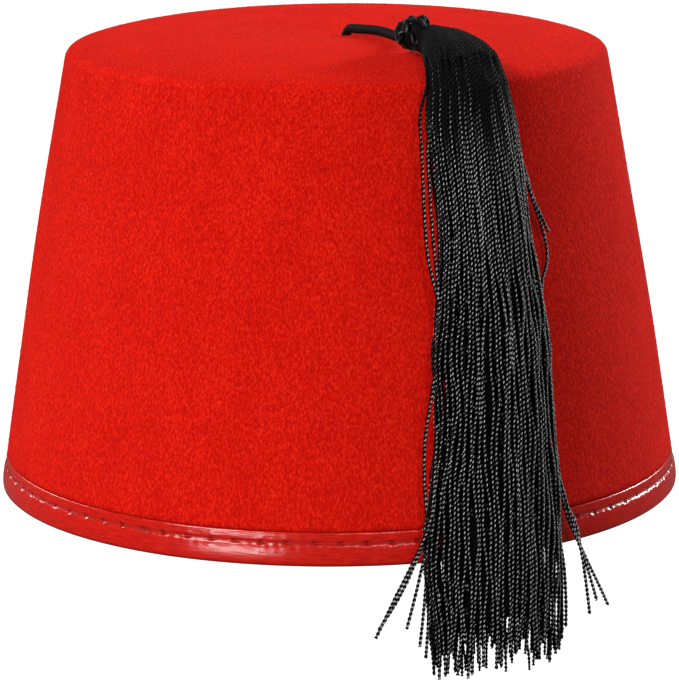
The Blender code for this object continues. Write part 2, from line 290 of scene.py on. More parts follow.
thread, tree, shader = new_material("red_sewing_thread")
chart = add_node(tree, "ShaderNodeTexCoord").outputs["Object"]
twist = add_node(tree, "ShaderNodeTexNoise", {"Vector": chart, "Scale": 2600.0, "Detail": 2.0})
colours = add_node(tree, "ShaderNodeValToRGB", {0: twist.outputs[0]})
colours.color_ramp.elements[0].position = 0.35
colours.color_ramp.elements[0].color = linear("8c0c07")
colours.color_ramp.elements[1].position = 0.65
colours.color_ramp.elements[1].color = linear("cf2015")
relief = add_node(tree, "ShaderNodeBump", {
    "Height": twist.outputs[0],
    "Strength": 0.6,
    "Distance": 0.00008,
})
tree.links.new(colours.outputs[0], shader.inputs["Base Color"])
tree.links.new(relief.outputs[0], shader.inputs["Normal"])
shader.inputs["Roughness"].default_value = 0.5
print("tape and thread materials made")

# %% [markdown]
# Rayon is black all through. Its own gloss shines where a strand bulges towards the light, and
# the bulging crests of the plies also get a painted highlight: their base colour is mixed towards
# near-white. The tassel's strands carry a number called shine: 0 in the bound neck, where the
# yarn is pressed flat and dull, and 1 below it, where it hangs free. It sets the gloss and how
# strong the painted highlight is.

# %% Rayon material
rayon, tree, shader = new_material("black_rayon_yarn")
shine = add_node(tree, "ShaderNodeAttribute", attribute_name="shine")
place = add_node(tree, "ShaderNodeTexCoord").outputs["Object"]
wear = add_node(tree, "ShaderNodeTexNoise", {"Vector": place, "Scale": 400.0, "Detail": 2.0})
gloss = add_node(tree, "ShaderNodeMapRange", {
    "Value": shine.outputs["Fac"],
    "To Min": 0.75,
    "To Max": 0.26,
})
gloss = add_node(tree, "ShaderNodeMath", {
    0: wear.outputs[0],
    1: 0.10,
    2: gloss.outputs[0],
}, operation="MULTIPLY_ADD")
colours = add_node(tree, "ShaderNodeValToRGB", {0: wear.outputs[0]})
colours.color_ramp.elements[0].position = 0.3
colours.color_ramp.elements[0].color = linear("020203")
colours.color_ramp.elements[1].position = 0.7
colours.color_ramp.elements[1].color = linear("040405")
# Painted highlight on the ply crests: their share, times shine, mixes the base colour towards near-white.
crest_highlight = add_node(tree, "ShaderNodeAttribute", attribute_name="crest_highlight")
crest_highlight = add_node(tree, "ShaderNodeMapRange", {
    "Value": crest_highlight.outputs["Fac"],
    "From Min": 0.53,
    "From Max": 0.83,
}, interpolation_type="SMOOTHSTEP")
crest_highlight = add_node(tree, "ShaderNodeMath", {
    0: crest_highlight.outputs[0],
    1: shine.outputs["Fac"],
}, operation="MULTIPLY")
painted_highlight = add_node(tree, "ShaderNodeMix", {
    "Factor": crest_highlight.outputs[0],
    "A": colours.outputs[0],
    "B": linear("f8f8f8"),
}, data_type="RGBA")
tree.links.new(painted_highlight.outputs["Result"], shader.inputs["Base Color"])
tree.links.new(gloss.outputs[0], shader.inputs["Roughness"])
shader.inputs["Specular IOR Level"].default_value = 0.16
print("rayon material made")

# %% [markdown]
# The cord comes next. It is short and limp: up through the hole in the felt, over, and along
# the top to the tassel's knot. Its middle line repeats the solid's route, point by point, and
# a smooth curve goes through them. The yarn is three plies twisted round each other, so its
# section is a three-lobed ring that turns as it goes along.

# %% Cord route
CORD_RADIUS = 0.0013
CORD_ROUTE = (
    (0.00236, -0.00334, 0.12151),
    (0.00244, -0.00357, 0.12251),
    (0.00259, -0.00395, 0.12341),
    (0.00289, -0.00471, 0.12460),
    (0.00331, -0.00572, 0.12558),
    (0.00379, -0.00687, 0.12622),
    (0.00435, -0.00811, 0.12652),
    (0.00525, -0.01000, 0.12670),
    (0.00720, -0.01460, 0.12720),
    (0.00960, -0.02000, 0.12776),
    (0.01180, -0.02470, 0.12806),
    (0.01370, -0.02940, 0.12815),
    (0.01570, -0.03460, 0.12807),
    (0.01745, -0.04030, 0.12830),
    (0.01890, -0.04475, 0.12905),
)


def smooth_points(route, spacing):
    """Evenly spaced points on a smooth curve through the route's own points."""
    points = np.array(route, float)
    ends = (2 * points[:1] - points[1:2], 2 * points[-1:] - points[-2:-1])
    points = np.concatenate([ends[0], points, ends[1]])
    steps = np.linspace(0.0, 1.0, 12, endpoint=False)[:, None]
    fine = []
    for a, b, c, d in zip(points, points[1:], points[2:], points[3:]):
        bend = 2 * b + (c - a) * steps + (2 * a - 5 * b + 4 * c - d) * steps ** 2
        fine.append(0.5 * (bend + (3 * b - a - 3 * c + d) * steps ** 3))
    fine = np.concatenate(fine + [points[-2:-1]])
    way = np.concatenate([[0.0], np.cumsum(np.linalg.norm(np.diff(fine, axis=0), axis=1))])
    even = np.linspace(0.0, way[-1], max(2, round(way[-1] / spacing)) + 1)
    return np.stack([np.interp(even, way, fine[:, axis]) for axis in range(3)], axis=1), way[-1]


cord_line, cord_length = smooth_points(CORD_ROUTE, 0.0003)
print("cord length, mm:", round(1000 * cord_length, 1))

# %% [markdown]
# Three more helpers make meshes. The first links a mesh to the scene as an object at the
# origin. The second joins rings of points into one closed skin and turns its faces outward,
# which it checks by the sign of the skin's volume. The third sweeps a section along a line.

# %% Helpers for meshes
def add_piece(name, mesh, material):
    """An object at the origin that shows a mesh in one material, shaded smooth."""
    mesh.materials.clear()
    mesh.materials.append(material)
    mesh.polygons.foreach_set("use_smooth", [True] * len(mesh.polygons))
    piece = bpy.data.objects.new(name, mesh)
    bpy.context.collection.objects.link(piece)
    return piece


def outward(points, faces):
    """The faces turned so that the closed skin's volume is positive."""
    corners = points[np.array([face[:3] for face in faces])]
    volume = np.einsum("ij,ij->i", corners[:, 0], np.cross(corners[:, 1], corners[:, 2])).sum()
    return faces if volume > 0 else [face[::-1] for face in faces]


def skin_of_rings(name, rings, closed, material):
    """Rings of points joined into a closed skin: a loop of rings, or a tube with two ends."""
    rows, columns = rings.shape[:2]
    points = rings.reshape(-1, 3)
    index = np.arange(rows * columns).reshape(rows, columns)
    here = index if closed else index[:-1]
    after = np.roll(index, -1, axis=0) if closed else index[1:]
    quads = np.stack([here, np.roll(here, -1, 1), np.roll(after, -1, 1), after], axis=2)
    faces = quads.reshape(-1, 4).tolist()
    if not closed:
        faces += [index[0][::-1].tolist(), index[-1].tolist()]
    mesh = bpy.data.meshes.new(name)
    mesh.from_pydata(points.tolist(), [], outward(points, faces))
    return add_piece(name, mesh, material)


def sweep(line, section):
    """Rings of a section carried along a line; section gives radii and angles at each row."""
    along = np.gradient(line, axis=0)
    along /= np.linalg.norm(along, axis=1)[:, None]
    side = np.cross(along[0], (0.3, 0.9, 0.1))
    rings = []
    for row, (point, ahead) in enumerate(zip(line, along)):
        side = side - ahead * side.dot(ahead)
        side /= np.linalg.norm(side)
        over = np.cross(ahead, side)
        radii, angles = section(row)
        turned = np.outer(np.cos(angles), side) + np.outer(np.sin(angles), over)
        rings.append(point + radii[:, None] * turned)
    return np.array(rings)


# %% Cord
PLIES = 3
CORD_PITCH = 0.0048
CORD_SIDES = 24


def cord_section(row):
    """The three-lobed section of the cord, turned a little further at each row."""
    angles = np.linspace(0.0, 2.0 * math.pi, CORD_SIDES, endpoint=False)
    turn = 2.0 * math.pi * row * 0.0003 / CORD_PITCH
    lobes = np.abs(np.cos(0.5 * PLIES * (angles - turn)))
    return CORD_RADIUS * (0.80 + 0.21 * lobes), angles


cord = skin_of_rings("tassel_cord_yarn", sweep(cord_line, cord_section), False, rayon)
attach(cord, "root")
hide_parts("tassel_cord")
print("cord faces:", len(cord.data.polygons))

# %% [markdown]
# The felt shell is one closed skin: from the cord's hole out over the top, round the shoulder,
# down the side, under the rim and back up inside. Each ring of points is a circle round the
# hat's axis. Near the hole the rings slide over to it, because the hole is a few millimetres
# off the middle. A fine grid is used, so that slow unevenness from blocking can be added.

# %% Felt shell
TURNED_STEPS = 256
HOLE_RADIUS = 0.00138
HOLE_OUTSIDE = (0.00285, -0.00462)
HOLE_INSIDE = (0.00239, -0.00343)
HOLE_REACH = 0.030
HOLE_LIP = 0.0005
UNEVEN = 0.00022

angles = np.linspace(0.0, 2.0 * math.pi, TURNED_STEPS, endpoint=False)
circle = np.stack([np.cos(angles), np.sin(angles)], axis=1)


def top_rings(radii, hole, depth):
    """Rings over the top, a depth inside the outer face, slid towards the hole."""
    rings = []
    for radius in radii:
        share = min(radius / HOLE_REACH, 1.0)
        slide = 1.0 - share * share * (3.0 - 2.0 * share)
        flat = circle * radius + np.array(hole) * slide
        level = top_height(np.linalg.norm(flat, axis=1)) - depth
        level = level - HOLE_LIP * math.exp(-(((radius - HOLE_RADIUS) / 0.0016) ** 2))
        rings.append(np.column_stack([flat, level]))
    return rings


def turned_rings(profile):
    """A ring round the hat's axis for each radius and height."""
    return [np.column_stack([circle * radius, np.full(len(circle), level)])
            for radius, level in profile]


def shoulder(depth, count):
    """Radius and height round the shoulder, a depth inside its outer face."""
    turns = np.linspace(math.pi / 2.0 - EDGE_SLOPE, LEAN, count)[1:]
    reach = SHOULDER_ROUND - depth
    return [(ROUND_RADIUS + reach * math.cos(a), ROUND_HEIGHT + reach * math.sin(a)) for a in turns]


tucked = TAPE_THICKNESS + GAP
outside = top_rings(np.geomspace(HOLE_RADIUS, 0.012, 14)[:-1], HOLE_OUTSIDE, 0.0)
outside += top_rings(np.linspace(0.012, EDGE_RADIUS, 52), HOLE_OUTSIDE, 0.0)
outside += turned_rings(shoulder(0.0, 12))
side_heights = np.linspace(SIDE_HEIGHT, TAPE_HEIGHT + GAP, 90)[1:]
outside += turned_rings([wall_point(height, 0.0) for height in side_heights])
outer_rows = len(outside)
hidden = [wall_point(TAPE_HEIGHT + GAP * 0.3, tucked * share) for share in (0.35, 0.8, 1.0)]
hidden += [wall_point(height, tucked) for height in np.linspace(TAPE_HEIGHT - 0.001, tucked, 4)]
hidden += [wall_point(tucked + FELT * math.sin(LEAN), FELT)]
inside = [wall_point(height, FELT) for height in np.linspace(0.006, SIDE_HEIGHT, 26)]
inside += shoulder(FELT, 6)[::-1]
inside_top = top_rings(np.linspace(EDGE_RADIUS - 0.0010, 0.006, 24), HOLE_INSIDE, FELT)
inside_top += top_rings(np.geomspace(0.0050, HOLE_RADIUS, 6), HOLE_INSIDE, FELT)
rings = np.array(outside + turned_rings(hidden + inside) + inside_top)
print("felt rings:", len(rings), "of", TURNED_STEPS, "points")

# %% [markdown]
# Blocking is done by hand, so a real fez is never a perfect cone. Three slow waves round the
# hat push the wall in and out by a fifth of a millimetre. They fade away at the rim, where the
# tape has to fit, and at the hole.

# %% Unevenness from blocking
WAVES = (
    {"rounds": 2, "climbs": 31.0, "phase": 0.4},
    {"rounds": 5, "climbs": -47.0, "phase": 2.1},
    {"rounds": 9, "climbs": 83.0, "phase": 4.4},
)
level = rings[:, :, 2]
reach = np.linalg.norm(rings[:, :, :2], axis=2)
push = sum(np.sin(w["rounds"] * angles[None, :] + w["climbs"] * level + w["phase"]) for w in WAVES)
fade = np.clip((level - 0.012) / 0.03, 0.0, 1.0) * np.clip((reach - 0.02) / 0.03, 0.0, 1.0)
rings[:, :, :2] *= (1.0 + UNEVEN * (push * fade / len(WAVES))[:, :, None] / reach[:, :, None])
crown = skin_of_rings("felt_crown", rings, True, felt)

outer_face = np.zeros((len(rings), TURNED_STEPS), bool)
outer_face[:outer_rows - 1] = True
marks = crown.data.attributes.new("outer", "BOOLEAN", "FACE")
marks.data.foreach_set("value", outer_face.ravel())
print("felt shell faces:", len(crown.data.polygons))

# %% [markdown]
# Geometry Nodes make everything that repeats: the standing fibres, the stitches and the
# strands. This helper gives a tree its named inputs. The next one runs a tree on an object,
# keeps what it made as a plain mesh, and takes the modifier off again.

# %% Helpers for Geometry Nodes
SOCKETS = {"value": "NodeSocketFloat", "whole": "NodeSocketInt", "material": "NodeSocketMaterial"}


def new_tree(name, inputs):
    """A Geometry Nodes tree with its named inputs; returns the tree and its group input."""
    tree = bpy.data.node_groups.new(name, "GeometryNodeTree")
    faces = tree.interface
    faces.new_socket("Geometry", in_out="INPUT", socket_type="NodeSocketGeometry")
    for label, kind in inputs.items():
        faces.new_socket(label, in_out="INPUT", socket_type=SOCKETS[kind])
    faces.new_socket("Geometry", in_out="OUTPUT", socket_type="NodeSocketGeometry")
    return tree, tree.nodes.new("NodeGroupInput").outputs


def end_tree(tree, made, material):
    """Ends a tree: instances made real, shaded smooth, one material, out."""
    real = add_node(tree, "GeometryNodeRealizeInstances", {"Geometry": made})
    smooth = add_node(tree, "GeometryNodeSetShadeSmooth", {"Geometry": real.outputs[0]})
    painted = add_node(tree, "GeometryNodeSetMaterial", {
        "Geometry": smooth.outputs[0],
        "Material": material,
    })
    add_node(tree, "NodeGroupOutput", {"Geometry": painted.outputs[0]})


def grow(name, source, tree, values):
    """Runs a tree on an object and returns what it made as a plain object at the origin."""
    modifier = source.modifiers.new("grow", "NODES")
    modifier.node_group = tree
    for item in tree.interface.items_tree:
        if item.in_out == "INPUT" and item.name in values:
            modifier[item.identifier] = values[item.name]
    seen = source.evaluated_get(bpy.context.evaluated_depsgraph_get())
    mesh = bpy.data.meshes.new_from_object(seen)
    source.modifiers.remove(modifier)
    mesh.name = name
    made = bpy.data.objects.new(name, mesh)
    bpy.context.collection.objects.link(made)
    print(name, "faces:", len(mesh.polygons))
    return made


# %% [markdown]
# The standing fibres are what blurs a felt hat's outline. Points are scattered over the outer
# faces, and each gets a thin spike that lies nearly flat, turned at random. A spike is a
# three-sided cone, which is the cheapest closed shape, so tens of thousands are still light.

# %% Standing fibres
def fibre_tree():
    """Spikes scattered over the marked faces, leaning over by a random amount."""
    tree, given = new_tree("standing_fibres", {
        "Density": "value",
        "Length": "value",
        "Thickness": "value",
        "Least lean": "value",
        "Most lean": "value",
        "Seed": "whole",
        "Material": "material",
    })
    marked = add_node(tree, "GeometryNodeInputNamedAttribute", {"Name": "outer"}, data_type="BOOLEAN")
    spots = add_node(tree, "GeometryNodeDistributePointsOnFaces", {
        "Mesh": given["Geometry"],
        "Selection": marked.outputs[0],
        "Density": given["Density"],
        "Seed": given["Seed"],
    })
    spike = add_node(tree, "GeometryNodeMeshCone", {
        "Vertices": 3,
        "Radius Bottom": given["Thickness"],
        "Depth": given["Length"],
    }, fill_type="NGON")
    lean = add_node(tree, "FunctionNodeRandomValue", {
        2: given["Least lean"],
        3: given["Most lean"],
        "Seed": given["Seed"],
    }, data_type="FLOAT")
    spin = add_node(tree, "FunctionNodeRandomValue", {2: 0.0, 3: 6.283, "Seed": 7}, data_type="FLOAT")
    turn = add_node(tree, "ShaderNodeCombineXYZ", {0: lean.outputs[1], 2: spin.outputs[1]})
    turn = add_node(tree, "FunctionNodeEulerToRotation", {0: turn.outputs[0]})
    turned = add_node(tree, "FunctionNodeRotateRotation", {
        "Rotation": spots.outputs["Rotation"],
        "Rotate By": turn.outputs[0],
    }, rotation_space="LOCAL")
    size = add_node(tree, "FunctionNodeRandomValue", {2: 0.45, 3: 1.0, "Seed": 3}, data_type="FLOAT")
    fibres = add_node(tree, "GeometryNodeInstanceOnPoints", {
        "Points": spots.outputs["Points"],
        "Instance": spike.outputs[0],
        "Rotation": turned.outputs[0],
        "Scale": size.outputs[1],
    })
    end_tree(tree, fibres.outputs[0], given["Material"])
    return tree


fibre_nodes = fibre_tree()
fibres = grow("felt_fibres", crown, fibre_nodes, {
    "Density": 420000.0,
    "Length": 0.0011,
    "Thickness": 0.000035,
    "Least lean": 0.9,
    "Most lean": 1.5,
    "Seed": 11,
    "Material": fuzz,
})
for piece in (crown, fibres):
    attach(piece, "root")
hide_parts("crown")

# %% [markdown]
# The satin tape is folded over the cut edge of the felt and sewn through. On the outside every
# stitch pulls the satin into a small pit, and the satin puckers between the pits. The tape is
# a closed skin of rings like the felt, with twelve columns to each stitch, and the pits, the
# sewn groove and the puckers push its outer face in or out.

# %% Rim tape
STITCHES = 86
COLUMNS_PER_STITCH = 12
STITCH_HEIGHT = 0.0060
PIT_DEPTH = 0.00070
PIT_HALF_WIDTH = 0.00060
PIT_HALF_HEIGHT = 0.00050
GROOVE_DEPTH = 0.00020
PUFF = 0.00030
TOP_ROLL = 0.00022

columns = STITCHES * COLUMNS_PER_STITCH
tape_angles = np.linspace(0.0, 2.0 * math.pi, columns, endpoint=False)
stitch_arc = 2.0 * math.pi * RIM_RADIUS / STITCHES
maker = np.random.default_rng(5)
stitch_shift = maker.uniform(-0.00035, 0.00035, STITCHES)
stitch_rise = maker.uniform(-0.00015, 0.00015, STITCHES)
stitch_pull = maker.uniform(0.75, 1.15, STITCHES)

nearest = np.round(tape_angles / (2.0 * math.pi) * STITCHES).astype(int)
arc = tape_angles * RIM_RADIUS - nearest * stitch_arc
stitch = nearest % STITCHES


def tape_push(height):
    """How far the satin's outer face is pushed in at a height, all the way round."""
    beside = arc - stitch_shift[stitch]
    above = height - STITCH_HEIGHT - stitch_rise[stitch]
    pit = np.exp(-((beside / PIT_HALF_WIDTH) ** 2) - (above / PIT_HALF_HEIGHT) ** 2)
    groove = math.exp(-(((height - STITCH_HEIGHT) / 0.0004) ** 2))
    fan = np.exp(-(above / 0.0017) ** 2) * np.cos(2.0 * math.pi * beside / stitch_arc * 1.5)
    crease = np.sin(2.0 * math.pi * (beside + 0.45 * above) / 0.0021) * np.exp(-(above / 0.0013) ** 2)
    puff = math.sin(math.pi * min(max(height / STITCH_HEIGHT, 0.0), 1.0)) ** 0.8
    rolled = TOP_ROLL * max(0.0, (height - TAPE_HEIGHT + 0.0007) / 0.0007) ** 2
    inward = PIT_DEPTH * stitch_pull[stitch] * pit + GROOVE_DEPTH * groove + rolled
    return inward - PUFF * puff - 0.00007 * fan - 0.00004 * crease


def tape_ring(height, depth):
    """One ring of the tape at a height, pushed in by a depth that may vary round it."""
    radius, level = wall_point(height, depth)
    flat = np.stack([np.sin(tape_angles), -np.cos(tape_angles)], axis=1) * np.reshape(radius, (-1, 1))
    return np.column_stack([flat, np.broadcast_to(level, columns)])


lining = FELT + GAP
tape_rows = [tape_ring(height, tape_push(height)) for height in np.linspace(TAPE_HEIGHT, 0.0010, 30)]
tape_rows += [tape_ring(0.0004, 0.00008 - 0.3 * PUFF), tape_ring(0.0001, 0.00045)]
tape_rows.append(tape_ring(0.00045, lining))
tape_rows += [tape_ring(0.0009, lining + TAPE_THICKNESS * 0.8)]
tape_rows += [tape_ring(height, lining + TAPE_THICKNESS)
              for height in np.linspace(0.0016, TAPE_INNER_HEIGHT, 8)]
tape_rows += [tape_ring(TAPE_INNER_HEIGHT, lining)]
tape_rows += [tape_ring(height, lining) for height in np.linspace(0.006, 0.0016, 3)]
tape_rows += [tape_ring(0.0011, TAPE_THICKNESS + 0.0001)]
tape_rows += [tape_ring(height, TAPE_THICKNESS) for height in np.linspace(0.002, TAPE_HEIGHT, 5)]
tape = skin_of_rings("satin_rim_tape", np.array(tape_rows), True, satin)

chart = tape.data.uv_layers.new(name="tape_mm")
corner = np.zeros(len(tape.data.loops), int)
tape.data.loops.foreach_get("vertex_index", corner)
owner = np.repeat(np.arange(len(tape.data.polygons)), 4)
first = owner % columns
column = corner % columns
column = np.where((first == columns - 1) & (column == 0), columns, column)
row = corner // columns
spots = np.column_stack([column * stitch_arc / COLUMNS_PER_STITCH * 1000.0, row * 0.28])
chart.data.foreach_set("uv", spots.ravel())


def painted_shade_share(height):
    """How much painted shade the satin gets: in the pits, the groove and the bottom fold."""
    beside = arc - stitch_shift[stitch]
    above = height - STITCH_HEIGHT - stitch_rise[stitch]
    slanted = above + 0.55 * beside
    pit = np.exp(-((beside / 0.00085) ** 2) - (slanted / 0.00042) ** 2)
    groove = 0.55 * math.exp(-(((height - STITCH_HEIGHT) / 0.00022) ** 2))
    fold = max(0.0, 1.0 - height / 0.0007)
    return np.clip(1.1 * pit + groove + fold, 0.0, 1.0)


# The rows off the outer face, the bottom roll and the inside, all get a fixed share of painted shade.
shares = np.ones((len(tape_rows), columns)) * 0.6
shares[:30] = [painted_shade_share(height) for height in np.linspace(TAPE_HEIGHT, 0.0010, 30)]
tape.data.attributes.new("painted_shade", "FLOAT", "POINT").data.foreach_set("value", shares.ravel())
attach(tape, "root")
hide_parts("rim_binding")
print("tape faces:", len(tape.data.polygons), "stitches:", STITCHES)

# %% [markdown]
# The thread shows as a short arc from pit to pit, lying in the sewn groove. A tree bends one
# arc, gives it thickness, and sets a copy on each of the marked points, turned to lie along
# the tape. The points carry the two directions that it needs: along the tape, and outward.

# %% Stitches
def stitch_tree():
    """A bent length of thread on every point, laid along the tape."""
    tree, given = new_tree("stitches", {
        "Span": "value",
        "Rise": "value",
        "Thickness": "value",
        "Material": "material",
    })
    half = add_node(tree, "ShaderNodeMath", {0: given["Span"], 1: 0.5}, operation="MULTIPLY")
    back = add_node(tree, "ShaderNodeMath", {0: given["Span"], 1: -0.5}, operation="MULTIPLY")
    start = add_node(tree, "ShaderNodeCombineXYZ", {0: back.outputs[0]})
    finish = add_node(tree, "ShaderNodeCombineXYZ", {0: half.outputs[0]})
    top = add_node(tree, "ShaderNodeCombineXYZ", {2: given["Rise"]})
    arc = add_node(tree, "GeometryNodeCurveQuadraticBezier", {
        "Resolution": 10,
        "Start": start.outputs[0],
        "Middle": top.outputs[0],
        "End": finish.outputs[0],
    })
    section = add_node(tree, "GeometryNodeCurvePrimitiveCircle", {
        "Resolution": 8,
        "Radius": given["Thickness"],
    })
    bent = add_node(tree, "GeometryNodeCurveToMesh", {
        "Curve": arc.outputs[0],
        "Profile Curve": section.outputs[0],
        "Fill Caps": True,
    })
    along = add_node(tree, "GeometryNodeInputNamedAttribute", {"Name": "along"}, data_type="FLOAT_VECTOR")
    out = add_node(tree, "GeometryNodeInputNamedAttribute", {"Name": "out"}, data_type="FLOAT_VECTOR")
    turn = add_node(tree, "FunctionNodeAlignRotationToVector", {"Vector": out.outputs[0]}, axis="Z")
    turn = add_node(tree, "FunctionNodeAlignRotationToVector", {
        "Rotation": turn.outputs[0],
        "Vector": along.outputs[0],
    }, axis="X", pivot_axis="Z")
    spots = add_node(tree, "GeometryNodeMeshToPoints", {"Mesh": given["Geometry"]})
    laid = add_node(tree, "GeometryNodeInstanceOnPoints", {
        "Points": spots.outputs[0],
        "Instance": bent.outputs[0],
        "Rotation": turn.outputs[0],
    })
    end_tree(tree, laid.outputs[0], given["Material"])
    return tree


mid = (np.arange(STITCHES) + 0.5) * stitch_arc / RIM_RADIUS
radius, level = wall_point(STITCH_HEIGHT, 0.00030)
spots = np.column_stack([radius * np.sin(mid), -radius * np.cos(mid), np.full(STITCHES, level)])
along = np.column_stack([np.cos(mid), np.sin(mid), np.zeros(STITCHES)])
out = np.column_stack([np.sin(mid) * math.cos(LEAN), -np.cos(mid) * math.cos(LEAN),
                       np.full(STITCHES, math.sin(LEAN))])
marks = bpy.data.meshes.new("stitch_marks")
marks.from_pydata(spots.tolist(), [], [])
marks.attributes.new("along", "FLOAT_VECTOR", "POINT").data.foreach_set("vector", along.ravel())
marks.attributes.new("out", "FLOAT_VECTOR", "POINT").data.foreach_set("vector", out.ravel())
marks = bpy.data.objects.new("stitch_marks", marks)
bpy.context.collection.objects.link(marks)
stitches = grow("rim_stitches", marks, stitch_tree(), {
    "Span": 0.0062,
    "Rise": 0.0005,
    "Thickness": 0.00012,
    "Material": thread,
})
bpy.data.objects.remove(marks)
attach(stitches, "root")

# %% [markdown]
# The tassel lies on the felt: from the knot out over the top, round the shoulder, down the
# side and past the rim. Its places are easiest to give in the hat's own terms: the way from
# the middle of the top, the distance sideways, and the lift off the felt. The felt's outline
# is measured once, with the last straight drop below the rim, and read between its points.

# %% Places on the tassel
TIPS_BELOW_RIM = 0.0300
HANG_BEND = 0.0250
LINE_STEP = 0.0010
TASSEL_HALF_WIDTH = 0.0190
TASSEL_THICKNESS = 0.0100
KNOT_PLACE = (0.02064, -0.04934, 0.13070)
KNOT_RADIUS = 0.00560
TASSEL_COLUMNS = ("way", "turn", "width", "depth")
TASSEL_TABLE = (
    (0.250, 25.8, 0.24, 0.80),
    (0.275, 26.8, 0.36, 0.90),
    (0.305, 26.0, 0.49, 0.93),
    (0.335, 25.2, 0.60, 0.94),
    (0.370, 25.2, 0.68, 0.94),
    (0.430, 25.5, 0.74, 0.96),
    (0.500, 25.6, 0.77, 1.00),
    (0.590, 25.9, 0.80, 1.00),
    (0.680, 25.4, 0.88, 1.00),
    (0.770, 24.5, 0.98, 1.00),
    (0.870, 23.8, 1.00, 0.96),
    (1.000, 23.5, 0.97, 0.84),
)

flat_radii = np.linspace(0.0, EDGE_RADIUS, 90)
outline = list(zip(flat_radii, top_height(flat_radii)))
outline += shoulder(0.0, 14)
outline += [wall_point(height, 0.0) for height in np.linspace(SIDE_HEIGHT, 0.0, 120)[1:]]
outline = np.array(outline)
runs = np.diff(outline, axis=0)
felt_way = np.concatenate([[0.0], np.cumsum(np.hypot(runs[:, 0], runs[:, 1]))])
felt_facing = np.append(np.arctan2(runs[:, 0], -runs[:, 1]), LEAN)
rim_way = felt_way[-1]
drop = np.arange(LINE_STEP, TIPS_BELOW_RIM + 0.014, LINE_STEP)
drop_facing = LEAN * np.clip(1.0 - drop / HANG_BEND, 0.0, 1.0)
felt_way = np.append(felt_way, rim_way + drop)
felt_radius = np.append(outline[:, 0], outline[-1, 0] + np.cumsum(np.sin(drop_facing)) * LINE_STEP)
felt_height = np.append(outline[:, 1], outline[-1, 1] - np.cumsum(np.cos(drop_facing)) * LINE_STEP)
felt_facing = np.append(felt_facing, drop_facing)
whole_way = np.interp(TIPS_BELOW_RIM, -felt_height[len(outline):], felt_way[len(outline):])
table = dict(zip(TASSEL_COLUMNS, np.array(TASSEL_TABLE).T))
print("way to the rim and to the tips, mm:", round(1000 * rim_way, 1), round(1000 * whole_way, 1))


def row_value(name, way):
    """A column of the tassel's table at a way from the middle, read between its rows."""
    return np.interp(way / whole_way, table["way"], table[name])


def on_tassel(way, sideways, lift):
    """World points from the way out, the distance sideways and the lift off the felt."""
    facing = np.interp(way, felt_way, felt_facing)
    radius = np.interp(way, felt_way, felt_radius) + lift * np.cos(facing)
    level = np.interp(way, felt_way, felt_height) + lift * np.sin(facing)
    turn = np.radians(row_value("turn", way)) + sideways / radius
    return np.stack([radius * np.sin(turn), -radius * np.cos(turn), level], axis=-1)


# %% [markdown]
# A tassel is cut from wound yarn, so its strands are alike and hang side by side. They are
# laid out in rings of an oval section: one ring on the outside, which is what shows, and one
# under it. Every strand keeps its place in the oval from the neck to its tip, then slow waves
# shared by neighbours gather them into locks and open dark gaps, and a small wander of its
# own lets it cross the next one. Seeded noise gives both, so each run is the same.

# %% Layout of the strands
YARN = 0.00104
PATH_STEP = 0.0030
NECK_START = 0.0555
LOCK_WAVE = 0.00125
OWN_WAVE = 0.00070
SQUEEZE = 0.0026
LAYERS = (
    {"strands": 66, "inset": 0.0006, "phase": 0.0},
    {"strands": 50, "inset": 0.0017, "phase": 0.5},
)


def slow_noise(maker, count, steps, knots):
    """Smooth random waves from -1 to 1, one row for each strand."""
    rough = maker.uniform(-1.0, 1.0, (count, knots))
    where = np.linspace(0.0, knots - 1.0, steps)
    low = np.minimum(where.astype(int), knots - 2)
    part = where - low
    part = part * part * (3.0 - 2.0 * part)
    return rough[:, low] * (1.0 - part) + rough[:, low + 1] * part


def oval_places(count, phase):
    """Even places round a flattened oval: across from -1 to 1, up from 0 to 1."""
    turn = np.linspace(0.0, 2.0 * math.pi, 2000)
    across = np.sign(np.cos(turn)) * np.abs(np.cos(turn)) ** 0.8
    up = 0.5 + 0.5 * np.sign(np.sin(turn)) * np.abs(np.sin(turn)) ** 0.7
    wide = across * 0.017
    tall = up * 0.010
    way = np.concatenate([[0.0], np.cumsum(np.hypot(np.diff(wide), np.diff(tall)))])
    even = (np.arange(count) + phase) / count * way[-1]
    return np.interp(even, way, across), np.interp(even, way, up)


